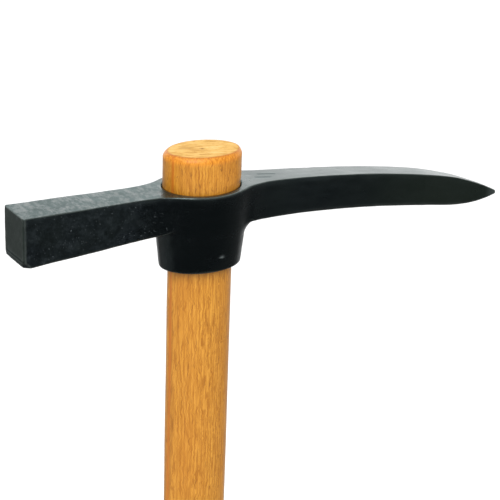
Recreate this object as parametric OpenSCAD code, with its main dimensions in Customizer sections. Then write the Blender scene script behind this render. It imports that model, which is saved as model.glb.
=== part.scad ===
// Rock hammer: a forged steel head with a square poll and an arched pick,
// on a drop-through oval wooden handle that wedges in the head's tapered eye.
// The butt of the handle is the origin, +Z runs up the handle and +X towards the pick.

/* [Poll] */
// Distance from the middle of the eye to the striking face
poll_reach = 101.4; // [70:1:130]
// Width of the striking face
face_width = 22.4; // [19:0.2:26]
// Height of the striking face
face_height = 25.4; // [21:0.2:28]
// Width of the poll where it runs into the eye
neck_width = 19.4; // [15:0.2:22]
// Height of the poll where it meets the collar
neck_height = 20; // [18:0.2:24]
// Rise of the poll's top between the eye and the striking face
poll_rise = 1.2; // [0:0.1:2]

/* [Pick] */
// Distance from the middle of the eye to the point
pick_reach = 191; // [150:1:240]
// Drop of the point below the top of the eye
pick_drop = 33.5; // [28:0.5:42]
// Width of the pick at its root
root_width = 15.8; // [13:0.2:18]
// Width of the pick where the ground point starts
grind_width = 12.8; // [9:0.2:13]
// Length of the ground point
grind_length = 55; // [40:1:75]

/* [Eye and collar] */
// Depth of the eye from the head's top to the collar's lower edge
eye_depth = 42; // [36:1:50]
// Size of the head along the poll and pick, round the top of the eye
boss_long = 53.8; // [50:0.2:58]
// Size of the head across, round the top of the eye
boss_short = 38.6; // [36:0.2:42]
// Size of the collar's lower edge along the poll and pick
collar_long = 44; // [41:0.2:47]
// Size of the collar's lower edge across
collar_short = 33; // [31:0.2:35]
// Radius of the fillet under the root of the pick
web_radius = 6.5; // [4:0.5:9]

/* [Handle] */
// Whole length of the handle
handle_length = 380; // [300:5:450]
// How far the handle stands out above the head
stand_out = 19; // [10:0.5:30]
// Long size of the oval section in the top of the eye
top_long = 41; // [39:0.2:43]
// Short size of the oval section in the top of the eye
top_short = 32.4; // [30:0.2:33]
// Long size of the oval grip
grip_long = 34.4; // [30:0.2:35]
// Short size of the oval grip
grip_short = 26.8; // [24:0.2:27]
// Rounding of the handle's top edge
top_round = 2.5; // [1:0.5:5]
// Rounding of the butt's edge
butt_round = 2.5; // [1:0.5:4]

/* [Fit] */
// Gap all round between the handle and the eye when the head is driven home
seat_gap = 0.06; // [0.02:0.01:0.1]

/* [Hidden] */

// Rounding of the head's long edges, and of the collar's lower edge
edge_r = 0.8;
collar_r = 0.9;
// Width and height left at the very point
point_width = 0.8;
// Bell mouth at both ends of the eye, and how deep it goes
mouth = 0.5;
mouth_depth = 1;
// Where the shoulder round the eye has rolled over to the boss's full size, and its first and widest step
shoulder_depth = 3.5;
shoulder_step = 0.8;
// How far the flank's outline lies inside the boss, and the depth at which its lower outline is taken
flank_inset = 0.35;
flank_depth = 24;
// Where the flank leaves the boss towards the poll and the pick, as angles from +X
neck_angle = 121;
root_angle = 61;
// How far past the boss the flank becomes a straight poll or pick
neck_run = 15;
root_run = 21;
// Half sizes of the eye where the wood leaves it at the bottom
eye_low = [grip_long / 2 + 0.25, grip_short / 2 + 0.25];
eye_high = [top_long / 2, top_short / 2];
head_top = handle_length - stand_out;
// Facets round an oval, and stations along each stretch of the head
oval_n = 48;
fillet_n = 5;
arc_n = 6;
pick_n = 15;

function mix(a, b, t) = a + (b - a) * t;

// A point on the cubic curve with four control points
function curve(p, t) = pow(1 - t, 3) * p[0] + 3 * pow(1 - t, 2) * t * p[1]
    + 3 * (1 - t) * t * t * p[2] + pow(t, 3) * p[3];

// The curve's height where it passes x, found by halving
function height_at(p, x, lo = 0, hi = 1, n = 24) =
    n == 0 ? curve(p, (lo + hi) / 2)[1]
    : curve(p, (lo + hi) / 2)[0] < x ? height_at(p, x, (lo + hi) / 2, hi, n - 1)
    : height_at(p, x, lo, (lo + hi) / 2, n - 1);

// Side outline of the pick: an arched back, and a belly that sweeps up to the point
pick_start = 20;
root_height = 20.5;
pick_run = pick_reach - pick_start;
back_line = [
    [pick_start, 0],
    [pick_start + 0.33 * pick_run, -0.095 * pick_drop],
    [pick_start + 0.82 * pick_run, -0.345 * pick_drop],
    [pick_reach, -pick_drop]
];
belly_line = [
    [pick_start, -root_height],
    [pick_start + 0.74 * pick_run, -0.735 * pick_drop],
    [pick_start + 0.79 * pick_run, -1.285 * pick_drop],
    [pick_reach, -pick_drop - point_width]
];
neck_x = -25;
function top_z(x) = x < -pick_start ? poll_rise * (-x - pick_start) / (poll_reach - pick_start)
    : x < pick_start ? 0
    : height_at(back_line, x);
face_bottom = poll_rise - face_height;
function poll_bottom(x) = mix(-neck_height, face_bottom, (neck_x - x) / (poll_reach + neck_x));
function bottom_z(x) = x < neck_x ? poll_bottom(x)
    : x < pick_start ? mix(-neck_height, -root_height, (x - neck_x) / (pick_start - neck_x))
    : height_at(belly_line, x);

// Half sizes of the boss round the eye at a depth below the top
function boss_at(depth) = [
    mix(boss_long, collar_long, depth / eye_depth) / 2,
    mix(boss_short, collar_short, depth / eye_depth) / 2
];

// Plan outline of one flank, as stations from the face to the point at one depth
function flank(depth, inset) =
    let (
        b = boss_at(depth) - [inset, inset],
        neck = [-boss_long / 2 - neck_run, neck_width / 2],
        root = [boss_long / 2 + root_run, root_width / 2],
        left = [b[0] * cos(neck_angle), b[1] * sin(neck_angle)],
        right = [b[0] * cos(root_angle), b[1] * sin(root_angle)],
        // Each fillet leaves the flank along it and meets the oval along its tangent
        left_dir = [b[0] * sin(neck_angle), -b[1] * cos(neck_angle)],
        right_dir = [b[0] * sin(root_angle), -b[1] * cos(root_angle)],
        fillet_in = [neck, neck + [11, -0.2], left - 0.42 * left_dir, left],
        fillet_out = [right, right + 0.42 * right_dir, root + [-17, 0.6], root],
        grind_x = pick_reach - grind_length
    )
    concat(
        [[-poll_reach, face_width / 2]],
        [for (i = [0:fillet_n - 1]) curve(fillet_in, i / fillet_n)],
        [for (i = [0:arc_n]) let (a = mix(neck_angle, root_angle, i / arc_n))
            [b[0] * cos(a), b[1] * sin(a)]],
        [for (i = [1:fillet_n]) curve(fillet_out, i / fillet_n)],
        [for (i = [1:pick_n])
            let (x = mix(root[0], pick_reach, i / pick_n))
            [x, x < grind_x ? mix(root_width, grind_width, (x - root[0]) / (grind_x - root[0])) / 2
                : mix(grind_width, point_width, (x - grind_x) / grind_length) / 2]]
    );
station_n = len(flank(0, 0));

// One rounded cross-section of the head, listed from the top of its -Y flank to its +Y flank.
// Each corner has three points, and the flank leans in with depth round the eye.
function section(i, flanks) =
    let (
        x0 = flanks[0][i][0],
        zt = top_z(x0),
        zb = bottom_z(x0),
        r = min(edge_r, 0.22 * (zt - zb), 0.45 * flanks[0][i][1]),
        k = r * (1 - sqrt(0.5)),
        at = function (z, inset) let (
            t = min(1, max(0, -z / flank_depth)),
            p = mix(flanks[0][i], flanks[1][i], t)
        ) [p[0], p[1] - inset, z],
        side = [at(zt, r), at(zt - k, k), at(zt - r, 0), at(zb + r, 0), at(zb + k, k), at(zb, r)]
    )
    concat([for (p = side) [p[0], -p[1], p[2]]], [for (j = [5:-1:0]) side[j]]);

// A closed solid through loops with the same number of points, listed anticlockwise
// as seen from the last loop
module loft(loops) {
    n = len(loops[0]);
    last = len(loops) - 1;
    polyhedron(
        points = [for (l = loops) for (p = l) p],
        faces = concat(
            [[for (j = [0:n - 1]) j]],
            [for (i = [0:last - 1]) for (j = [0:n - 1])
                let (a = i * n + j, b = i * n + (j + 1) % n) each [[a, a + n, b + n], [a, b + n, b]]],
            [[for (j = [n - 1:-1:0]) last * n + j]]
        ),
        convexity = 6
    );
}

// An oval loop of half sizes s at height z
function oval(s, z) = [for (j = [0:oval_n - 1])
    let (a = 360 * j / oval_n) [s[0] * cos(a), s[1] * sin(a), z]];

// The tapered boss and collar round the eye, with a rolled shoulder and a rounded lower edge
module boss() {
    low = [collar_long / 2, collar_short / 2];
    shoulder = boss_at(shoulder_depth);
    loft([
        oval(low - [collar_r, collar_r], -eye_depth),
        oval(low - 0.3 * [collar_r, collar_r], -eye_depth + 0.3 * collar_r),
        oval(boss_at(eye_depth - collar_r), -eye_depth + collar_r),
        oval(shoulder, -shoulder_depth),
        oval(shoulder - [shoulder_step, shoulder_step], -shoulder_step)
    ]);
}

// The fillet web under the root of the pick, which runs out down the collar
module web() {
    width = root_width - 2 * edge_r;
    // Inside the boss, inside the pick, and where the web has run out down the collar
    inner_x = 16;
    inner_z = -root_height + 2.5;
    collar_x = 21.3;
    middle = [collar_x + web_radius, -root_height - web_radius];
    low_z = middle[1] - 2.5;
    translate([0, width / 2, 0])
        rotate([90, 0, 0])
            linear_extrude(width)
                polygon(concat(
                    [[inner_x, inner_z], [middle[0] + 0.8, inner_z]],
                    [for (a = [90:15:180]) middle + web_radius * [cos(a), sin(a)]],
                    [[collar_x - 1.3, low_z], [inner_x, low_z]]
                ));
}

// The tapered oval hole right through the head, belled at both ends
module eye() {
    gap = [seat_gap, seat_gap];
    flare = [mouth, mouth];
    past = 2;
    loft([
        oval(eye_low + gap + flare * (1 + past / mouth_depth), -eye_depth - past),
        oval(eye_low + gap, -eye_depth + mouth_depth),
        oval(eye_high + gap, -mouth_depth),
        oval(eye_high + gap + flare * (1 + past / mouth_depth), past)
    ]);
}

module head() {
    flanks = [flank(0, flank_inset), flank(flank_depth, flank_inset)];
    color([0.16, 0.18, 0.18])
        translate([0, 0, head_top])
            difference() {
                union() {
                    loft([for (i = [0:station_n - 1]) section(i, flanks)]);
                    boss();
                    web();
                }
                eye();
            }
}

// The oval handle: plain grip, taper that wedges in the eye, and a rounded top
module handle() {
    grip = [grip_long / 2, grip_short / 2];
    round_steps = 3;
    taper = eye_depth - mouth_depth;
    color([0.87, 0.6, 0.27])
        loft(concat(
            [for (i = [0:round_steps]) let (a = 90 * i / round_steps)
                oval(grip - butt_round * [1 - sin(a), 1 - sin(a)], butt_round * (1 - cos(a)))],
            [
                oval(grip, head_top - taper - 3),
                oval(eye_low, head_top - taper),
                oval(eye_high, head_top - mouth_depth)
            ],
            [for (i = [0:round_steps]) let (a = 90 * i / round_steps)
                oval(eye_high - top_round * [1 - cos(a), 1 - cos(a)],
                    handle_length - top_round * (1 - sin(a)))]
        ));
}

head();
handle();
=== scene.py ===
import math

import bpy
import numpy as np
from mathutils import Matrix, Vector


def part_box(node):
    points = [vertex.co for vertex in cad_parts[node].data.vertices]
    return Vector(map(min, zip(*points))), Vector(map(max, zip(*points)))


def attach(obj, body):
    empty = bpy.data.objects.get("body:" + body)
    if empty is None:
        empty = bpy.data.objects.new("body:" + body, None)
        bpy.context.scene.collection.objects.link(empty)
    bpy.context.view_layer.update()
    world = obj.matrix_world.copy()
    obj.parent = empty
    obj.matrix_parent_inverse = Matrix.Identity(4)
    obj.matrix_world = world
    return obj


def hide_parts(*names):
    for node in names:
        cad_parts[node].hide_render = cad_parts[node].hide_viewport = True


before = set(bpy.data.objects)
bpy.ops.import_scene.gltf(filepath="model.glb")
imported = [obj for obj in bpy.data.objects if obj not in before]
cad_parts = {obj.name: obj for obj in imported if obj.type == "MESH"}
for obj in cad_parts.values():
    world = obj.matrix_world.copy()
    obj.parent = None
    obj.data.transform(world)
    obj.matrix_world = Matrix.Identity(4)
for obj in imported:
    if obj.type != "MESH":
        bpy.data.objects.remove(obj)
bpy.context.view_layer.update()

# Every size below is in millimetres unless its name says otherwise. The frame is in metres.
MM = 0.001
head_low, head_high = (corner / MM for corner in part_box("head"))
wood_low, wood_high = (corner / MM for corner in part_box("handle"))

# ---------------------------------------------------------------- sizes of the head
# The face, neck and root are 0.2 to 0.4 deeper than in the CAD, and LOWER_INSET takes part of that back.
POLL_RISE = 1.2
POLL_REACH = -head_low.x
PICK_REACH = head_high.x
EYE_TOP = head_high.z - POLL_RISE
EYE_DEPTH = EYE_TOP - head_low.z
FACE_WIDTH, FACE_HEIGHT = 22.4, 25.8
NECK_WIDTH, NECK_HEIGHT = 19.4, 20.2
NECK_X = -25.0
PICK_DROP, PICK_START = 33.5, 20.0
ROOT_HEIGHT = 20.9
ROOT_WIDTH, GRIND_WIDTH, GRIND_LENGTH = 15.8, 12.8, 55.0
POINT_WIDTH, TIP_FACET, TIP_BLUNT = 0.8, 30.0, 0.5
# Control points of the pick's back and belly, as shares of its run and its drop
BACK_NEAR, BACK_FAR = (0.33, -0.095), (0.82, -0.36)
BELLY_NEAR, BELLY_FAR = (0.74, -0.735), (0.79, -1.285)
# The top's mean slope towards the front, how much steeper its front half is, and how softly that starts
TOP_LEAN, FRONT_LEAN, LEAN_SOFTNESS = 0.0365, 0.0085, 3
BOSS_LONG, BOSS_SHORT = 53.8, 38.6
# How far from the boss the long fillets of the neck and the root run out, and how they curve
NECK_BLEND, ROOT_BLEND = 15, 21
NECK_CURVE, ROOT_CURVE, BOSS_CURVE = (11, -0.2), (-17, 0.6), 0.42
NECK_TURN, ROOT_TURN = 121, 61
FLANK_DEPTH = 24.0
COLLAR_LONG, COLLAR_SHORT = 44.0, 33.0
WEB_RADIUS = 6.2
SHOULDER_DEPTH, SHOULDER_INSET = 3.5, 0.5
COLLAR_EDGE, EYE_EDGE = 0.6, 0.25
SIDE_EDGE, TOP_EDGE, FACE_EDGE = 0.8, 0.3, 0.5
MOUTH_EDGE = 1.0
SEAT_GAP = 0.06
FLANK_INSET, BOSS_TUCK = 0.35, 1.2
NECK_CORNER = 0.6
SEAM_WIDTH = 1.4
# The largest edges, as a share of the half width and of the height
WIDTH_LIMIT, HEIGHT_LIMIT = 0.45, 0.22
# (x, value) pairs: the shoulder's strength, the side edge's growth, and how far the lower line is drawn in
SHOULDER_ROLL = ((-POLL_REACH, 0.1), (-55, 0.3), (-28, 1), (30, 1), (110, 0.45), (PICK_REACH, 0.2))
SIDE_EDGE_GROWTH = ((30, 1), (55, 2.6), (150, 2.4), (185, 1))
LOWER_INSET = ((-POLL_REACH, 0.2), (-70, 0.42), (-40, 0.35), (20, 0.3), (45, 0.05), (185, 0.05),
               (PICK_REACH, 0.3))
# The striking face: its eased edges, the flat bevel along its foot, and the cuts at its lower corners
LOWER_EASE, UPRIGHT_EASE = 1.1, 0.9
BEVEL_SLOPE, BEVEL_RISE = 0.22, 3.4
CORNER_CUT, CORNER_UNEVEN, CORNER_EDGE = 2.6, 1.6, 0.35

# ---------------------------------------------------------------- marks and painted shade on the head
LONG_WAVE, FINE_WAVE = 0.06, 0.018
NICK_PLACE, NICK_SIZE, NICK_DEPTH = (3.2, -16.8, -34.1), (1.2, 1.0, 0.45), 0.25
# Each scratch starts at x, is so long, and starts at y
SCRATCHES = ((33.2, 11, 2.3), (29.5, 10, -1.6))
SCRATCH_SLOPE, SCRATCH_WIDTH = 0.18, 0.5
# Each crease of the striking face, painted as a dark line of shade, is so high above its foot and so strong
CREASES = ((4.1, 0.9), (2.2, 0.8))
CREASE_WIDTH = 0.5
# How dark the shade painted round the eye's mouth is
MOUTH_SHADE = 0.9
BARE_LENGTH, BARE_SHARE = 9, 0.2

# ---------------------------------------------------------------- sizes of the handle
TOP_LONG, TOP_SHORT = wood_high.x - wood_low.x, wood_high.y - wood_low.y
GRIP_LONG, GRIP_SHORT = 34.4, 26.8
LOW_GAP = 0.25
TOP_ROUND, BUTT_ROUND = 3.2, 2.5
TOP_INSET, BUTT_INSET = 1.75, 1.4
HANDLE_LENGTH = wood_high.z
MOUTH_DEPTH = 1.0
# The sawn top: how far it falls to the left, to the back and to its rim, and the lathe's centre mark
SLANT_LEFT, SLANT_BACK, CROWN = 0.2, 0.32, 0.15
MARK_RADIUS, MARK_DEPTH = 0.8, 0.45
# How far the stub bulges to the right, and how much the shaft's sides wave
BULGE, SHAFT_WAVE = 0.35, 0.07
# A dark streak of the end grain: its middle, its slope, half its width and half its length
STREAK_X, STREAK_Y, STREAK_SLOPE, STREAK_WIDTH, STREAK_LENGTH = -7.4, 4.2, 0.26, 0.6, 3.4

# ---------------------------------------------------------------- camera
AZIMUTH, ELEVATION, ROLL = (math.radians(v) for v in (31.674, 21.88, 2.114))
CAMERA_DISTANCE = 800.0
AIM_RIGHT, AIM_DOWN, AIM_BELOW_TOP = 24.25, 32.8, 0.5
FOCAL_LENGTH, SENSOR_WIDTH = 115.2, 36.0

# ---------------------------------------------------------------- light, as brightness
DOME_FRONT, DOME_BACK, DOME_TOP = 0.35, 2.0, 1.1
# Below the horizon: in front, behind, and what a patch on the left and a patch far behind add
BELOW_FRONT, BELOW_BACK, BELOW_LEFT, BELOW_FAR = 0.05, 0.12, 0.17, 0.45
SOFTBOX_WATTS = 28.0


def make_camera():
    """The photograph's viewing angle, aimed to the right of the eye and below it."""
    forward = Vector((math.sin(AZIMUTH) * math.cos(ELEVATION),
                      math.cos(AZIMUTH) * math.cos(ELEVATION), -math.sin(ELEVATION)))
    level = Vector((math.cos(AZIMUTH), -math.sin(AZIMUTH), 0))
    upright = level.cross(forward)
    right = level * math.cos(ROLL) + upright * math.sin(ROLL)
    up = upright * math.cos(ROLL) - level * math.sin(ROLL)
    eye = Vector((0, 0, EYE_TOP - AIM_BELOW_TOP))
    place = eye + right * AIM_RIGHT - up * AIM_DOWN - forward * CAMERA_DISTANCE
    data = bpy.data.cameras.new("camera")
    data.lens, data.sensor_width = FOCAL_LENGTH, SENSOR_WIDTH
    data.clip_start, data.clip_end = 0.05, 200.0
    camera = bpy.data.objects.new("camera", data)
    bpy.context.scene.collection.objects.link(camera)
    turn = Matrix((right, up, -forward)).transposed().to_4x4()
    camera.matrix_world = Matrix.Translation(place * MM) @ turn
    bpy.context.scene.camera = camera


# ---------------------------------------------------------------- mesh helpers
def make_object(name, points, faces, attributes, material):
    """A smooth-shaded mesh object from points in millimetres. Attributes hold one number per point."""
    mesh = bpy.data.meshes.new(name)
    mesh.from_pydata((np.asarray(points) * MM).tolist(), [], [list(f) for f in faces])
    mesh.validate()
    for label, values in attributes.items():
        layer = mesh.attributes.new(label, "FLOAT", "POINT")
        layer.data.foreach_set("value", np.asarray(values, dtype=np.float32))
    mesh.shade_smooth()
    mesh.materials.append(material)
    made = bpy.data.objects.new(name, mesh)
    bpy.context.scene.collection.objects.link(made)
    return made


def ripples(points, wavelength, seed, stretch=(1, 1, 1), waves=14):
    """Smooth random waves through space, from about -2 to 2, longer along an axis where stretch is over 1."""
    rng = np.random.default_rng(seed)
    total = np.zeros(len(points))
    for _ in range(waves):
        direction = rng.normal(size=3)
        length = wavelength * rng.uniform(0.7, 1.5) * np.linalg.norm(direction)
        direction *= 2 * math.pi / length
        total += np.sin(points @ (direction / stretch) + rng.uniform(0, 2 * math.pi))
    return total / math.sqrt(waves / 2)


def bezier(points, steps=240):
    """Points along a cubic Bezier curve."""
    t = np.linspace(0, 1, steps)[:, None]
    p = np.array(points, dtype=float)
    return (1 - t) ** 3 * p[0] + 3 * (1 - t) ** 2 * t * p[1] + 3 * (1 - t) * t * t * p[2] + t ** 3 * p[3]


# ---------------------------------------------------------------- outline of the head
# Heights are measured from the top of the eye, as in the head's own drawing.
def pick_point(shares):
    """A place beside the pick, from shares of its run and its drop."""
    along_run, along_drop = shares
    return PICK_START + along_run * (PICK_REACH - PICK_START), along_drop * PICK_DROP


def back_height(x):
    """The head's top line: the poll rises to its face, and the pick's back is arched, then ground flat."""
    tip = TIP_BLUNT - PICK_DROP
    curve = bezier([(PICK_START, 0), pick_point(BACK_NEAR), pick_point(BACK_FAR), (PICK_REACH, tip)])
    start = PICK_REACH - TIP_FACET
    facet = np.interp(x, [start, PICK_REACH], [np.interp(start, curve[:, 0], curve[:, 1]), tip])
    arch = np.interp(x, curve[:, 0], curve[:, 1])
    arch = np.where(x > start, (facet + arch) / 2, arch)
    poll = POLL_RISE * (-x - PICK_START) / (POLL_REACH - PICK_START)
    return np.where(x < -PICK_START, poll, arch)


def belly_height(x):
    """The head's lower line: the poll deepens to its face, and the pick's belly sweeps up to the point."""
    tip = -PICK_DROP - POINT_WIDTH - TIP_BLUNT
    curve = bezier([(PICK_START, -ROOT_HEIGHT), pick_point(BELLY_NEAR), pick_point(BELLY_FAR),
                    (PICK_REACH, tip)])
    poll = np.interp(x, [-POLL_REACH, NECK_X, PICK_START],
                     [POLL_RISE - FACE_HEIGHT, -NECK_HEIGHT, -ROOT_HEIGHT])
    return np.where(x < PICK_START, poll, np.interp(x, curve[:, 0], curve[:, 1]))


def lean(y):
    """How far the top lies above its own middle line: it falls towards the front."""
    return TOP_LEAN * y - FRONT_LEAN * np.hypot(y, LEAN_SOFTNESS)


def along(x, table):
    """A value that changes along the head, from (x, value) pairs."""
    return np.interp(x, *zip(*table))


def straight_half_width(x):
    """Half the width of the poll and pick as if there were no eye between them."""
    neck, root = -BOSS_LONG / 2 - NECK_BLEND, BOSS_LONG / 2 + ROOT_BLEND
    return np.interp(x, [-POLL_REACH, neck, root, PICK_REACH - GRIND_LENGTH, PICK_REACH],
                     [FACE_WIDTH / 2, NECK_WIDTH / 2, ROOT_WIDTH / 2, GRIND_WIDTH / 2, POINT_WIDTH / 2])


def boss_half_sizes(height):
    """Half sizes of the oval round the eye, which tapers down to the collar."""
    share = -height / EYE_DEPTH
    return ((BOSS_LONG + (COLLAR_LONG - BOSS_LONG) * share) / 2,
            (BOSS_SHORT + (COLLAR_SHORT - BOSS_SHORT) * share) / 2)


def flank_half_width(x, height):
    """Half the head's width at one height, with the long fillets from the poll and pick into the eye."""
    a, b = boss_half_sizes(height)
    left, right = math.radians(NECK_TURN), math.radians(ROOT_TURN)
    leave = np.array([a * math.cos(left), b * math.sin(left)])
    leave_way = np.array([a * math.sin(left), -b * math.cos(left)])
    meet = np.array([a * math.cos(right), b * math.sin(right)])
    meet_way = np.array([a * math.sin(right), -b * math.cos(right)])
    neck = np.array([-BOSS_LONG / 2 - NECK_BLEND, NECK_WIDTH / 2])
    root = np.array([BOSS_LONG / 2 + ROOT_BLEND, ROOT_WIDTH / 2])
    into = bezier([neck, neck + NECK_CURVE, leave - BOSS_CURVE * leave_way, leave])
    out = bezier([meet, meet + BOSS_CURVE * meet_way, root + ROOT_CURVE, root])
    arc = np.linspace(left, right, 120)[1:-1]
    line = np.vstack([into, np.column_stack([a * np.cos(arc), b * np.sin(arc)]), out])
    blended = np.interp(x, line[:, 0], line[:, 1])
    return np.where((x > neck[0]) & (x < root[0]), blended, straight_half_width(x))


# ---------------------------------------------------------------- the head as a distance field
def both(a, b, r):
    """Where two solids overlap, with their common edge rounded to radius r."""
    return np.minimum(-r, np.maximum(a, b)) + np.hypot(np.maximum(a + r, 0), np.maximum(b + r, 0))


def either(a, b, r):
    """Two solids joined, with a fillet of radius r in their corner."""
    return np.maximum(r, np.minimum(a, b)) - np.hypot(np.maximum(r - a, 0), np.maximum(r - b, 0))


def melted(a, b, r):
    """Two solids joined with a soft seam about r wide, which swells little where they share a surface."""
    near = np.maximum(r - np.abs(a - b), 0) / r
    return np.minimum(a, b) - near * near * r / 4


def oval_distance(x, y, a, b):
    """Distance outside an oval of half sizes a and b, close enough near its edge."""
    k1 = np.hypot(x / a, y / b)
    k2 = np.maximum(np.hypot(x / a ** 2, y / b ** 2), 1e-6)
    return k1 * (k1 - 1) / k2


def smooth_step(x, start, end):
    t = np.clip((x - start) / (end - start), 0, 1)
    return t * t * (3 - 2 * t)


def slope(line, x):
    return line(x + 0.5) - line(x - 0.5)


def side_distance(half_width, x, y):
    """Distance outside a bar with that half width, from numbers for the width and how fast it changes."""
    return (np.abs(y) - half_width(x)) / np.sqrt(1 + slope(half_width, x) ** 2)


def head_field(x, y, z):
    """Distance outside the head's surface, with z measured from the top of the eye."""
    # The top leans a little to the front round the eye and the root of the pick
    back = back_height(x) + lean(y) * smooth_step(x, -30, 0) * (1 - smooth_step(x, 30, 70))
    above = (z - back) / np.sqrt(1 + slope(back_height, x) ** 2)
    below = (belly_height(x) - z) / np.sqrt(1 + slope(belly_height, x) ** 2)
    straight = straight_half_width(x)

    # The rolled shoulder: the sides draw in just under the top, most of all round the eye
    near_top = np.clip((z - back + SHOULDER_DEPTH) / SHOULDER_DEPTH, 0, 1.5)
    shoulder = SHOULDER_INSET * along(x, SHOULDER_ROLL) * near_top ** 1.6

    share = np.clip(-z / FLANK_DEPTH, 0, 1)
    high = side_distance(lambda v: flank_half_width(v, 0.0), x, y)
    low = side_distance(lambda v: flank_half_width(v, -FLANK_DEPTH), x, y)
    side_edge = SIDE_EDGE * along(x, SIDE_EDGE_GROWTH)
    edge = np.minimum(side_edge, np.minimum(WIDTH_LIMIT * straight, -HEIGHT_LIMIT * (above + below)))
    below = below + along(x, LOWER_INSET)
    tucked = FLANK_INSET + BOSS_TUCK * (1 - smooth_step(np.abs(x), 18, 25)) * share
    blended = edge + 3 * (1 - smooth_step(np.abs(x), 16, 27))
    body = both(high * (1 - share) + low * share + shoulder + tucked, below, blended)

    a, b = boss_half_sizes(np.clip(z, -EYE_DEPTH, 0))
    boss = both(oval_distance(x, y, a, b) + shoulder, -EYE_DEPTH - z, COLLAR_EDGE)
    bar = both(side_distance(straight_half_width, x, y) + shoulder, below, edge)
    pick_root = either(np.maximum(bar, -x), boss, WEB_RADIUS)
    poll_root = either(np.maximum(bar, x), boss, NECK_CORNER)
    solid = melted(body, np.minimum(pick_root, poll_root), SEAM_WIDTH)
    top_edge = TOP_EDGE + EYE_EDGE * (1 - smooth_step(np.abs(x), 20, 30))
    solid = both(solid, above, np.minimum(top_edge, 0.4 * straight))

    # The striking face, with its lower edge and its upright edges eased and its lower corners cut
    face = -POLL_REACH - x
    side = np.abs(y) - FACE_WIDTH / 2
    lower = (face + below + LOWER_EASE) / math.sqrt(2)
    upright = (face + side + UPRIGHT_EASE) / math.sqrt(2)
    bevel = (face + BEVEL_SLOPE * (below + BEVEL_RISE)) / math.hypot(1, BEVEL_SLOPE)
    eased = np.maximum(np.maximum(lower, upright), bevel)
    corner = (face + below + side + CORNER_CUT - CORNER_UNEVEN * np.sign(y)) / math.sqrt(3)
    solid = both(both(solid, face, FACE_EDGE), np.maximum(eased, corner), CORNER_EDGE)
    solid = np.maximum(solid, x - PICK_REACH)

    down = np.clip((-z - MOUTH_DEPTH) / (EYE_DEPTH - 2 * MOUTH_DEPTH), -0.05, 1.05)
    eye_a = TOP_LONG / 2 + (GRIP_LONG / 2 + LOW_GAP - TOP_LONG / 2) * down + SEAT_GAP
    eye_b = TOP_SHORT / 2 + (GRIP_SHORT / 2 + LOW_GAP - TOP_SHORT / 2) * down + SEAT_GAP
    return both(solid, -oval_distance(x, y, eye_a, eye_b), MOUTH_EDGE)


def head_slopes(points, step=0.02):
    """The field and its gradient at each point."""
    def at(offset):
        return head_field(*(points + offset).T)
    ways = np.eye(3) * step
    return at(0 * ways[0]), np.column_stack([(at(way) - at(-way)) / (2 * step) for way in ways])


def steps(*stretches):
    """Places along an axis, from (start, end, spacing) for each stretch in turn."""
    places = [np.linspace(start, end, max(2, int(round((end - start) / gap)) + 1))[:-1]
              for start, end, gap in stretches]
    return np.concatenate([*places, [stretches[-1][1]]])


def head_grid():
    """The net's lines. x runs along the head, v across it as a share of its half width, and w down it, where
    0 is the head's top line, 1 its lower line, and over 1 the collar below. They lie closest at edges."""
    x = steps((-POLL_REACH - 1, -POLL_REACH + 2, 0.3), (-POLL_REACH + 2, -34, 0.82), (-34, 36, 0.62),
              (36, PICK_REACH - 12, 0.84), (PICK_REACH - 12, PICK_REACH + 0.6, 0.4))
    v_half = steps((0, 0.9, 0.036), (0.9, 1.05, 0.018), (1.05, 1.25, 0.1))
    v = np.concatenate([-v_half[:0:-1], v_half])
    w = steps((-0.1, -0.04, 0.03), (-0.04, 0.06, 0.012), (0.06, 0.8, 0.039), (0.8, 1.05, 0.019),
              (1.05, 2.12, 0.039))
    return x, v, w


def from_grid(x, v, w):
    """Points in the head from their places on the net's lines."""
    back, belly = back_height(x), belly_height(x)
    return v * np.maximum(flank_half_width(x, 0.0), 3), back - w * np.maximum(back - belly, 6)


def surface_net(field):
    """Grid places and quads of the surface where the field is zero, one point in each crossed cell."""
    nx, ny, nz = (n - 1 for n in field.shape)
    inside = field < 0
    corners = [(i, j, k) for i in (0, 1) for j in (0, 1) for k in (0, 1)]
    count = sum(inside[i:i + nx, j:j + ny, k:k + nz].astype(np.int8) for i, j, k in corners)
    cells = np.argwhere((count > 0) & (count < 8))
    number = np.full((nx, ny, nz), -1, dtype=np.int64)
    number[tuple(cells.T)] = np.arange(len(cells))
    one = np.eye(3, dtype=int)

    total, crossings = np.zeros((len(cells), 3)), np.zeros((len(cells), 1))
    for corner in corners:
        for axis in range(3):
            if corner[axis]:
                continue
            start = cells + corner
            f0, f1 = field[tuple(start.T)], field[tuple((start + one[axis]).T)]
            crossed = ((f0 < 0) != (f1 < 0))[:, None]
            share = np.where(crossed[:, 0], f0 / np.where(f0 == f1, 1, f0 - f1), 0)[:, None]
            total += crossed * (np.array(corner) + share * one[axis])
            crossings += crossed

    quads = []
    for axis in range(3):
        u, v = (axis + 1) % 3, (axis + 2) % 3
        lo, hi = [slice(None)] * 3, [slice(None)] * 3
        lo[axis], hi[axis] = slice(0, -1), slice(1, None)
        for s in (lo, hi):
            s[u], s[v] = slice(1, -1), slice(1, -1)
        f0, f1 = inside[tuple(lo)], inside[tuple(hi)]
        for leaving in (True, False):
            at = np.argwhere(f0 & ~f1 if leaving else f1 & ~f0) + one[u] + one[v]
            ring = [at - one[u] - one[v], at - one[v], at, at - one[u]]
            quad = np.column_stack([number[tuple(p.T)] for p in ring])
            quads.append(quad if leaving else quad[:, ::-1])
    return cells + total / crossings, np.vstack(quads)


def neighbour_mean(values, quads):
    """Each point's mean over the points that it shares an edge with."""
    total, count = np.zeros_like(values), np.zeros(len(values))
    for i in range(4):
        for j in (i - 1, (i + 1) % 4):
            np.add.at(total, quads[:, i], values[quads[:, j]])
            np.add.at(count, quads[:, i], 1)
    return total / (count[:, None] if values.ndim == 2 else count)


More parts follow.
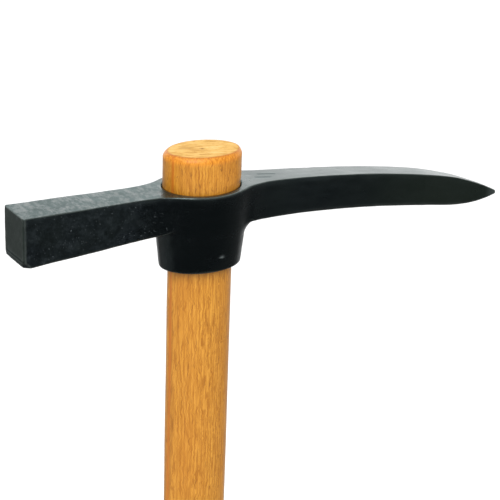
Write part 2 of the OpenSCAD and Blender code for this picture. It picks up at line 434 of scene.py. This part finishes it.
def point_normals(points, quads):
    a, b, c, d = (points[quads[:, i]] for i in range(4))
    face = np.cross(c - a, d - b)
    normals = np.zeros_like(points)
    for i in range(4):
        np.add.at(normals, quads[:, i], face)
    return normals / np.maximum(np.linalg.norm(normals, axis=1, keepdims=True), 1e-9)


def onto_surface(points, rounds=3):
    """The points moved onto the head's exact surface."""
    for _ in range(rounds):
        off, gradient = head_slopes(points)
        length = np.maximum(np.sum(gradient ** 2, axis=1), 0.2)
        points = points - np.clip(off / length, -0.4, 0.4)[:, None] * gradient
    return points


def head_mesh():
    """The forged head: points in the row frame, quads, and the shades that its finish varies by."""
    x, v, w = head_grid()
    y, z = from_grid(x[:, None, None], v[None, :, None], w[None, None, :])
    field = head_field(x[:, None, None], y, z)
    places, quads = surface_net(field)
    # The net's w lines run downward, which turns its quads inside out
    quads = quads[:, ::-1]
    x, v, w = (np.interp(place, range(len(line)), line) for place, line in zip(places.T, (x, v, w)))
    points = onto_surface(np.column_stack([x, *from_grid(x, v, w)]))
    even = neighbour_mean(points, quads) - points
    normals = point_normals(points, quads)
    points += 0.3 * (even - normals * np.sum(even * normals, axis=1, keepdims=True))
    points = onto_surface(points)

    # How sharply the surface turns away, from the gradients of the field a little inside and outside: it
    # lightens convex edges, partly as rubbed paint and partly as a painted highlight
    normals = point_normals(points, quads)
    reach = 0.5
    spread = sum(head_field(*(points + reach * way).T) for way in (*np.eye(3), *-np.eye(3)))
    edge_highlight_and_wear = np.clip(spread / reach / 0.5 - 0.1, 0, 1)

    # Forging leaves long shallow waves, fine scale marks and scattered dents outside the eye
    outside = smooth_step(oval_distance(points[:, 0], points[:, 1], TOP_LONG / 2, TOP_SHORT / 2), 0.4, 2)
    relief = LONG_WAVE * ripples(points, 26, 11, (1.6, 1, 1))
    relief += FINE_WAVE * ripples(points, 5, 12, (2.2, 1, 1))
    relief += dents(points)
    nick = np.exp(-np.sum(((points - NICK_PLACE) / NICK_SIZE) ** 2, axis=1))
    relief -= NICK_DEPTH * nick
    x, y = points[:, 0], points[:, 1]
    shades = {"edge_highlight_and_wear": edge_highlight_and_wear, "upper": smooth_step(normals[:, 2], 0.5, 0.8),
              "near_eye": 1 - smooth_step(np.maximum(-x, 1.4 * x), 28, 50),
              "poll": smooth_step(-x, 8, 26), "point": smooth_step(x, 75, 150),
              "face": smooth_step(-x, POLL_REACH - 1, POLL_REACH - 0.3)}
    scratches = np.zeros(len(points))
    for start, length, across in SCRATCHES:
        beside = (y - across + SCRATCH_SLOPE * (x - start)) / SCRATCH_WIDTH
        faded = 1 - smooth_step(x, start + length - 1, start + length)
        scratches += np.exp(-beside ** 2) * smooth_step(x, start, start + 1) * faded
    # Shade is painted round the eye's mouth, where the handle goes in, and along the face's creases; it rides
    # on the scratch mask
    mouth = 1 - smooth_step(oval_distance(x, y, TOP_LONG / 2, TOP_SHORT / 2), 0.5, 1.1)
    mouth *= smooth_step(points[:, 2], -6, -3)
    lift = points[:, 2] - belly_height(x)
    creases = sum(strength * np.exp(-((lift - high) / CREASE_WIDTH) ** 2) for high, strength in CREASES)
    creases = shades["face"] * creases
    scratched = np.clip(scratches, 0, 1) * shades["upper"]
    tip = smooth_step(x, PICK_REACH - BARE_LENGTH, PICK_REACH - 1)
    shades["bare"] = np.maximum(nick, BARE_SHARE * tip)
    shades["scratch_and_shade"] = np.maximum(scratched, np.maximum(MOUTH_SHADE * mouth, creases))
    points = points + normals * (relief * outside)[:, None]
    points[:, 2] += EYE_TOP
    return points, quads, shades


def dents(points, count=170):
    """Shallow round dents at random places on the surface."""
    rng = np.random.default_rng(5)
    depth = np.zeros(len(points))
    for centre in points[rng.integers(0, len(points), count)]:
        radius, deep = rng.uniform(0.8, 2.2), rng.uniform(0.03, 0.11)
        near = np.sum((points - centre) ** 2, axis=1) / radius ** 2
        depth -= deep * np.exp(-near)
    return depth


# ---------------------------------------------------------------- the handle
AROUND = 160


def handle_levels():
    """The handle's rings from the butt up. Each has two half sizes, a height, how far a rounded rim has
    drawn in, and its share of an end face."""
    eye_low_z = EYE_TOP - EYE_DEPTH + MOUTH_DEPTH
    grip = np.array([GRIP_LONG, GRIP_SHORT]) / 2
    top = np.array([TOP_LONG, TOP_SHORT]) / 2
    low_eye = grip + LOW_GAP
    inward = 1 - np.array([0, 0.3, *range(1, 17)]) / 17
    rings = [(*grip, 0, BUTT_INSET, share) for share in inward[::-1]]
    for t in np.linspace(1, 0, 9)[1:]:
        rings.append((*grip, BUTT_ROUND * (1 - t), BUTT_INSET * t ** 2, 1))
    for z in np.linspace(BUTT_ROUND, eye_low_z - 4, 120)[1:]:
        rings.append((*grip, z, 0, 1))
    for share in np.linspace(0, 1, 8)[1:]:
        rings.append((*(grip + LOW_GAP * share), eye_low_z - 4 + 4 * share, 0, 1))
    for share in np.linspace(0, 1, 16)[1:]:
        z = eye_low_z + (EYE_TOP - MOUTH_DEPTH - eye_low_z) * share
        rings.append((*(low_eye + (top - low_eye) * share), z, 0, 1))
    stub = steps((EYE_TOP - MOUTH_DEPTH, EYE_TOP + 1.5, 0.15),
                 (EYE_TOP + 1.5, HANDLE_LENGTH - TOP_ROUND, 0.7))
    for z in stub[1:]:
        rings.append((*top, z, 0, 1))
    for t in np.linspace(0, 1, 12)[1:]:
        rings.append((*top, HANDLE_LENGTH - TOP_ROUND * (1 - t), TOP_INSET * t ** 2, 1))
    rings += [(*top, HANDLE_LENGTH, TOP_INSET, share) for share in inward[1:]]
    return rings


def handle_mesh():
    """The oval handle: points in the row frame, faces, and the shades that its colour varies by."""
    rings = handle_levels()
    turn = np.linspace(0, 2 * math.pi, AROUND, endpoint=False)
    across = np.column_stack([np.cos(turn), np.sin(turn)])
    left = across @ (-math.cos(AZIMUTH), math.sin(AZIMUTH))
    rounder = 1 + 0.2 * left
    points, shades = [], []
    for a, b, z, inset, share in rings:
        half = np.array([a, b]) - (inset * rounder)[:, None]
        points.append(np.column_stack([share * half * across, np.full(AROUND, z)]))
        from_end = min(z / BUTT_ROUND, (HANDLE_LENGTH - z) / TOP_ROUND)
        from_rim = np.hypot(min(z, HANDLE_LENGTH - z), (1 - share) * 17)
        # Painted shadow on the shaft just under the collar
        under = smooth_step(z, EYE_TOP - EYE_DEPTH - 9, EYE_TOP - EYE_DEPTH) * (z < EYE_TOP - 5)
        shades.append((float(share < 1), math.exp(-(from_rim / 0.5) ** 2),
                       (share == 1) * (1 - smooth_step(from_end, 0.7, 1.7)), 0.33 * under,
                       smooth_step(z, EYE_TOP - 5, EYE_TOP - 3)))
    points = np.vstack([*points, (0, 0, 0), (0, 0, HANDLE_LENGTH)])
    shades = np.vstack([np.repeat(shades, AROUND, axis=0), (1, 0, 0, 0, 0), (1, 0, 0, 0, 1)])
    faces = []
    last = (len(rings) - 1) * AROUND
    for j in range(AROUND):
        k = (j + 1) % AROUND
        for i in range(0, last, AROUND):
            faces.append((i + j, i + k, i + AROUND + k, i + AROUND + j))
        faces.append((k, j, len(points) - 2))
        faces.append((last + j, last + k, len(points) - 1))

    # The top is cut a touch off square and very slightly crowned, with the lathe's centre mark in it
    x, y, z = points.T
    left = -x * math.cos(AZIMUTH) + y * math.sin(AZIMUTH)
    back = x * math.sin(AZIMUTH) + y * math.cos(AZIMUTH)
    near_top = smooth_step(z, HANDLE_LENGTH - 8, HANDLE_LENGTH - 2)
    out = np.hypot(x / TOP_LONG, y / TOP_SHORT) * 2
    mark = np.exp(-(np.hypot(x, y) / MARK_RADIUS) ** 2)

    # Painted shade lies in the seat's edge, where the handle goes into the eye; dirt lies in the centre mark
    # and along one dark streak of the end grain
    seat = np.exp(-((z - EYE_TOP - lean(y) + 0.3) / 0.28) ** 2)
    beside = (y - STREAK_Y + STREAK_SLOPE * (x - STREAK_X)) / STREAK_WIDTH
    streak = np.exp(-beside ** 2 - ((x - STREAK_X) / STREAK_LENGTH) ** 4)
    on_end = (z > HANDLE_LENGTH - 0.01) * (0.9 * mark + 0.4 * streak)
    shades[:, 3] = np.clip(shades[:, 3] + 0.95 * seat + on_end, 0, 1)

    slant = SLANT_LEFT * (1 + left / (TOP_LONG / 2)) + SLANT_BACK * (1 + back / (TOP_SHORT / 2))
    bulge = BULGE * smooth_step(z, EYE_TOP + 0.5, EYE_TOP + 4) * np.maximum(-left, 0) / (TOP_LONG / 2)
    points[:, 2] -= near_top * (slant + CROWN * out ** 2 + MARK_DEPTH * mark)
    points[:, 2] += np.where(z < 0.5, MARK_DEPTH * mark, 0)
    points[:, 0] += bulge * math.cos(AZIMUTH)
    points[:, 1] -= bulge * math.sin(AZIMUTH)

    # Below the collar the hand-finished sides wave a little
    shaft = smooth_step(z, 3, 20) * (1 - smooth_step(z, EYE_TOP - EYE_DEPTH - 30, EYE_TOP - EYE_DEPTH - 8))
    wave = SHAFT_WAVE * ripples(points, 30, 21, (1, 1, 3)) * shaft
    outward = np.column_stack([x, y]) / np.maximum(np.hypot(x, y), 1)[:, None]
    points[:, :2] += outward * wave[:, None]
    return points, faces, dict(zip(("end", "rim", "band", "stain_and_shade", "stub"), shades.T))


# ---------------------------------------------------------------- materials
class Shader:
    """A material whose nodes are added one call at a time."""

    def __init__(self, name):
        self.material = bpy.data.materials.new(name)
        self.material.use_nodes = True
        self.tree = self.material.node_tree
        self.principled = self.tree.nodes["Principled BSDF"]

    def add(self, kind, inputs=None, **settings):
        made = self.tree.nodes.new(kind)
        for name, value in settings.items():
            setattr(made, name, value)
        for name, value in (inputs or {}).items():
            self.plug(made.inputs[name], value)
        return made

    def plug(self, socket, value):
        if isinstance(value, bpy.types.NodeSocket):
            self.tree.links.new(value, socket)
        else:
            socket.default_value = value

    def math(self, operation, a, b=0.0, clamp=False):
        return self.add("ShaderNodeMath", {0: a, 1: b}, operation=operation, use_clamp=clamp).outputs[0]

    def ramp(self, value, stops):
        """A colour ramp through (place, colour) stops, where a colour is a grey level or three numbers."""
        made = self.add("ShaderNodeValToRGB", {"Fac": value})
        while len(made.color_ramp.elements) < len(stops):
            made.color_ramp.elements.new(0.5)
        for element, (place, colour) in zip(made.color_ramp.elements, stops):
            element.position = place
            element.color = (*((colour,) * 3 if isinstance(colour, (int, float)) else colour), 1)
        return made.outputs["Color"]

    def mix(self, share, a, b, blend="MIX"):
        made = self.add("ShaderNodeMix", data_type="RGBA", blend_type=blend)
        self.plug(made.inputs["Factor"], share)
        for name, value in (("A", a), ("B", b)):
            socket = next(s for s in made.inputs if s.name == name and s.type == "RGBA")
            self.plug(socket, value if isinstance(value, bpy.types.NodeSocket) else (*value, 1))
        return next(s for s in made.outputs if s.type == "RGBA")

    def noise(self, where, scale, detail=4.0, roughness=0.55):
        return self.add("ShaderNodeTexNoise", {"Vector": where, "Scale": scale, "Detail": detail,
                                               "Roughness": roughness}).outputs["Fac"]

    def stretched(self, where, scale):
        """Coordinates scaled by a different amount along each axis."""
        return self.add("ShaderNodeMapping", {"Vector": where, "Scale": scale}).outputs["Vector"]

    def place(self):
        return self.add("ShaderNodeTexCoord").outputs["Object"]

    def attribute(self, name):
        return self.add("ShaderNodeAttribute", attribute_name=name).outputs["Fac"]

    def finish(self, **constants):
        for name, value in constants.items():
            self.plug(self.principled.inputs[name.replace("_", " ")], value)
        return self.material


def forged_black():
    """Satin black over forged steel: mottled and painted lighter on upper faces, darkest round the eye,
    rubbed on its edges with a painted highlight there, painted shade at the eye's mouth and in the face's
    creases.
    """
    s = Shader("forged_black")
    where = s.place()
    upper, near_eye, poll = s.attribute("upper"), s.attribute("near_eye"), s.attribute("poll")
    scratch_and_shade = s.attribute("scratch_and_shade")
    mottle = s.noise(s.stretched(where, (0.3, 1, 1)), 170, 6, 0.6)
    cloud = s.noise(where, 38, 3)
    patch = s.noise(s.stretched(where, (0.9, 0.42, 1)), 330, 5, 0.68)
    grit = s.noise(where, 1500, 3)
    marks = s.ramp(s.noise(s.stretched(where, (1, 0.5, 1)), 700, 3, 0.7), [(0.50, 0.0), (0.64, 1.0)])
    uneven = s.ramp(s.noise(where, 160, 4), [(0.35, 0.3), (0.68, 1.0)])
    edge_highlight_and_wear = s.math("MULTIPLY", s.attribute("edge_highlight_and_wear"), uneven, True)

    rough_coat = s.ramp(patch, [(0.34, (0.0006, 0.0012, 0.0022)), (0.5, (0.0032, 0.0048, 0.0066)),
                                (0.68, (0.0120, 0.0150, 0.0180))])
    even_coat = s.ramp(mottle, [(0.3, (0.0008, 0.0018, 0.0024)), (0.7, (0.0028, 0.0042, 0.0050))])
    coat = s.mix(poll, even_coat, rough_coat)
    coat = s.mix(s.math("MULTIPLY", s.attribute("point"), 0.8), coat, (0.0060, 0.0096, 0.0060))
    coat = s.mix(s.ramp(cloud, [(0.4, 0.0), (0.7, 0.4)]), coat, (0.0040, 0.0064, 0.0044))
    coat = s.mix(s.math("MULTIPLY", near_eye, 0.85), coat, (0.0004, 0.0009, 0.0014))
    face_coat = s.ramp(patch, [(0.34, (0.001, 0.004, 0.001)), (0.66, (0.007, 0.013, 0.007))])
    coat = s.mix(s.attribute("face"), coat, face_coat)
    dark = s.math("ADD", s.ramp(patch, [(0.42, 1.0), (0.60, 0.0)]), s.math("MULTIPLY", marks, 0.7), True)
    dark = s.math("MULTIPLY", dark, s.math("ADD", s.math("MULTIPLY", poll, 0.45), 0.06))
    # The scratch mask also carries the painted shade of the eye's mouth and the face's creases
    dark = s.math("MAXIMUM", s.math("MULTIPLY", dark, upper), scratch_and_shade)
    dark = s.math("MAXIMUM", dark, s.math("MULTIPLY", s.attribute("face"), 0.18))
    # Upward faces are painted lighter and teal, a painted stand-in for the light they catch from above
    coat = s.mix(upper, coat, (0.019, 0.026, 0.024))
    coat = s.mix(dark, coat, (0.001, 0.004, 0.003))
    flecks = s.ramp(s.noise(where, 1250, 1), [(0.715, 0.0), (0.75, 1.0)])
    flecks = s.math("MULTIPLY", flecks, s.math("SUBTRACT", poll, s.math("MULTIPLY", near_eye, 0.5), True))
    colour = s.mix(flecks, coat, (0.07, 0.08, 0.085))
    # Convex edges are painted lighter: partly rubbed paint, partly a painted highlight
    colour = s.mix(edge_highlight_and_wear, colour, (0.034, 0.040, 0.036))
    colour = s.mix(s.attribute("bare"), colour, (0.13, 0.15, 0.15))

    rough = s.ramp(s.math("ADD", s.math("MULTIPLY", mottle, 0.6), s.math("MULTIPLY", cloud, 0.4)),
                   [(0.3, 0.25), (0.7, 0.38)])
    rough = s.math("ADD", rough, s.math("MULTIPLY", dark, 0.2))
    rough = s.math("SUBTRACT", rough, s.math("MULTIPLY", near_eye, 0.06))
    pits = s.ramp(s.noise(where, 620, 2), [(0.60, 0.0), (0.72, 1.0)])
    rise = s.math("ADD", s.math("MULTIPLY", mottle, 0.8), s.math("MULTIPLY", grit, 0.14))
    height = s.math("SUBTRACT", rise, s.math("ADD", s.math("MULTIPLY", pits, 0.35), scratch_and_shade))
    bump = s.add("ShaderNodeBump", {"Height": height, "Strength": 0.7, "Distance": 0.00012}).outputs["Normal"]
    return s.finish(Base_Color=colour, Metallic=dark, Roughness=rough, Normal=bump, IOR=1.62,
                    Specular_Tint=(0.80, 1.0, 1.0, 1))


def varnished_wood():
    """Varnished hardwood: growth rings, fibres and dark pores along the handle, end grain on its ends."""
    s = Shader("varnished_wood")
    where = s.place()
    end, rim, band = s.attribute("end"), s.attribute("rim"), s.attribute("band")

    # Growth rings round a pith that lies outside the handle, wavering slowly along it
    waver = s.noise(s.stretched(where, (1, 1, 0.12)), 75, 2)
    plan = s.stretched(where, (1, 1, 0.0))
    pith = (-0.052, -0.012, 0)
    from_pith = s.add("ShaderNodeVectorMath", {0: plan, 1: pith}, operation="DISTANCE").outputs["Value"]
    rings = s.math("ADD", s.math("MULTIPLY", from_pith, 620.0), s.math("MULTIPLY", waver, 3.2))
    late = s.ramp(s.math("FRACT", rings), [(0.0, 0.0), (0.55, 0.15), (0.9, 1.0), (1.0, 0.0)])

    # Fibres run up the handle and sway from side to side
    sway = s.noise(s.stretched(where, (0.5, 0.5, 1)), 260, 3)
    aside = s.add("ShaderNodeCombineXYZ", {0: s.math("MULTIPLY", sway, 0.0026),
                                           1: s.math("MULTIPLY", sway, -0.0020)}).outputs[0]
    swayed = s.add("ShaderNodeVectorMath", {0: where, 1: aside}).outputs[0]
    fibre = s.noise(s.stretched(swayed, (1, 1, 0.07)), 1350, 3, 0.6)
    tone = s.noise(s.stretched(where, (1, 1, 0.15)), 60, 3)
    long_dashes = s.ramp(s.noise(s.stretched(swayed, (1, 1, 0.07)), 1200, 2), [(0.61, 0.0), (0.70, 0.8)])
    short_dashes = s.ramp(s.noise(s.stretched(swayed, (1, 1, 0.2)), 1000, 2), [(0.60, 0.0), (0.69, 1.0)])
    dashes = s.mix(s.attribute("stub"), long_dashes, short_dashes)

    side = s.ramp(fibre, [(0.36, (0.34, 0.122, 0.008)), (0.5, (0.52, 0.222, 0.018)),
                          (0.64, (0.63, 0.292, 0.032))])
    side = s.mix(s.ramp(tone, [(0.35, 0.0), (0.7, 0.55)]), side, (0.47, 0.176, 0.014))
    side = s.mix(s.math("MULTIPLY", late, 0.5), side, (0.34, 0.118, 0.008))
    side = s.mix(s.math("MULTIPLY", dashes, 0.75), side, (0.21, 0.068, 0.006))
    banded = s.ramp(fibre, [(0.34, (0.44, 0.138, 0.008)), (0.5, (0.60, 0.215, 0.016)),
                            (0.64, (0.69, 0.278, 0.026))])
    side = s.mix(s.math("MULTIPLY", band, 0.8), side, banded)
    leftward = s.add("ShaderNodeVectorMath", {0: where, 1: (-math.cos(AZIMUTH), math.sin(AZIMUTH), 0)},
                     operation="DOT_PRODUCT").outputs["Value"]
    streak = s.ramp(s.math("ADD", s.math("MULTIPLY", leftward, 40.0), s.math("MULTIPLY", tone, 0.08)),
                    [(0.555, 0.0), (0.585, 0.6), (0.605, 0.6), (0.635, 0.0)])
    side = s.mix(streak, side, (0.50, 0.130, 0.009))

    sawn_turn = (0, 0, math.radians(14.5))
    sawn = s.add("ShaderNodeMapping", {"Vector": where, "Rotation": sawn_turn}).outputs["Vector"]
    streaks = s.noise(s.stretched(sawn, (0.2, 1, 1)), 480, 4, 0.65)
    ends = s.ramp(streaks, [(0.36, (0.41, 0.205, 0.034)), (0.5, (0.58, 0.345, 0.088)),
                            (0.64, (0.67, 0.425, 0.145))])
    spots = s.ramp(s.noise(s.stretched(sawn, (0.5, 1, 1)), 900, 2), [(0.58, 0.0), (0.72, 0.7)])
    ends = s.mix(spots, ends, (0.38, 0.165, 0.020))
    colour = s.mix(end, side, ends)
    # A darker mix: dirt on the end, painted shade at the seat and a painted shadow under the collar
    colour = s.mix(s.attribute("stain_and_shade"), colour, (0.10, 0.038, 0.006))
    rim_share = s.math("MULTIPLY", rim, s.ramp(fibre, [(0.3, 0.8), (0.7, 0.45)]))
    colour = s.mix(rim_share, colour, (0.33, 0.105, 0.009))
    rough = s.math("ADD", s.ramp(fibre, [(0.3, 0.36), (0.7, 0.5)]), s.math("MULTIPLY", end, 0.4))
    bare = s.math("MAXIMUM", end, s.math("MAXIMUM", rim, band))
    coat = s.math("SUBTRACT", 0.3, s.math("MULTIPLY", bare, 0.3), True)
    pores = s.math("ADD", s.math("MULTIPLY", late, 0.2), dashes)
    height = s.math("SUBTRACT", s.math("MULTIPLY", fibre, 0.6), pores)
    bump = s.add("ShaderNodeBump", {"Height": height, "Strength": 0.5, "Distance": 0.00006}).outputs["Normal"]
    return s.finish(Base_Color=colour, Roughness=rough, Normal=bump, Coat_Weight=coat,
                    Coat_Roughness=0.22, IOR=1.36)


def pale_floor():
    s = Shader("pale_floor")
    speck = s.noise(s.place(), 3, 2)
    colour = s.ramp(speck, [(0.3, 0.84), (0.7, 0.88)])
    return s.finish(Base_Color=colour, Roughness=0.9, Specular_IOR_Level=0.0)


# ---------------------------------------------------------------- floor and light
def make_floor():
    """A wide pale floor. Reflections show the studio's lower half instead of it."""
    half = 80000.0
    corners = [(-half, -half, 0), (half, -half, 0), (half, half, 0), (-half, half, 0)]
    floor = make_object("floor", corners, [(0, 1, 2, 3)], {}, pale_floor())
    floor.visible_glossy = False


def make_light():
    """A soft white studio: a dome that is brightest behind the object and dim below the horizon but for
    a patch on the left and one behind, and one softbox."""
    world = bpy.data.worlds.new("studio")
    bpy.context.scene.world = world
    world.use_nodes = True
    tree = world.node_tree

    def add(kind, inputs, **settings):
        made = tree.nodes.new(kind)
        for name, value in settings.items():
            setattr(made, name, value)
        for name, value in inputs.items():
            if isinstance(value, bpy.types.NodeSocket):
                tree.links.new(value, made.inputs[name])
            else:
                made.inputs[name].default_value = value
        return made

    def smooth_range(value, limits):
        names = ("From Min", "From Max", "To Min", "To Max")
        inputs = {"Value": value, **dict(zip(names, limits))}
        return add("ShaderNodeMapRange", inputs, interpolation_type="SMOOTHSTEP").outputs["Result"]

    way = add("ShaderNodeTexCoord", {}).outputs["Generated"]
    height = add("ShaderNodeSeparateXYZ", {0: way}).outputs["Z"]
    backward = (math.sin(AZIMUTH), math.cos(AZIMUTH), 0)
    behind = add("ShaderNodeVectorMath", {0: way, 1: backward}, operation="DOT_PRODUCT").outputs["Value"]
    ring = smooth_range(behind, (0.2, 1.0, DOME_FRONT, DOME_BACK))
    zenith = smooth_range(height, (0.5, 0.85, 0.0, DOME_TOP))
    dome = add("ShaderNodeMath", {0: ring, 1: zenith}, operation="ADD").outputs[0]
    turned = AZIMUTH - math.radians(100)
    left = (math.sin(turned), math.cos(turned), 0)
    leftward = add("ShaderNodeVectorMath", {0: way, 1: left}, operation="DOT_PRODUCT").outputs["Value"]
    lower = smooth_range(behind, (-0.6, 0.7, BELOW_FRONT, BELOW_BACK))
    for patch in (smooth_range(leftward, (0.66, 0.8, 0.0, BELOW_LEFT)),
                  smooth_range(behind, (0.5, 0.8, 0.0, BELOW_FAR))):
        lower = add("ShaderNodeMath", {0: lower, 1: patch}, operation="ADD").outputs[0]
    share = smooth_range(height, (-0.2, -0.05, 0.0, 1.0))
    light = add("ShaderNodeMix", {0: share, 2: lower, 3: dome}, data_type="FLOAT").outputs[0]
    tree.links.new(light, tree.nodes["Background"].inputs["Strength"])
    tree.nodes["Background"].inputs["Color"].default_value = (1, 1, 1, 1)

    data = bpy.data.lights.new("softbox", "AREA")
    data.shape, data.size, data.size_y = "RECTANGLE", 1.2, 0.9
    data.energy = SOFTBOX_WATTS
    lamp = bpy.data.objects.new("softbox", data)
    bpy.context.scene.collection.objects.link(lamp)
    lamp.location = (-0.75, -1.15, 1.45)
    aim = Vector((0, 0, EYE_TOP * MM)) - lamp.location
    lamp.rotation_euler = aim.to_track_quat("-Z", "Y").to_euler()


# ---------------------------------------------------------------- assembly
make_camera()
bpy.context.scene.view_settings.view_transform = "Standard"
make_floor()
make_light()

head_points, head_quads, head_shades = head_mesh()
head = make_object("forged_head", head_points, head_quads, head_shades, forged_black())
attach(head, "head")
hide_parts("head")

wood_points, wood_faces, wood_shades = handle_mesh()
handle = make_object("oval_handle", wood_points, wood_faces, wood_shades, varnished_wood())
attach(handle, "handle")
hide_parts("handle")
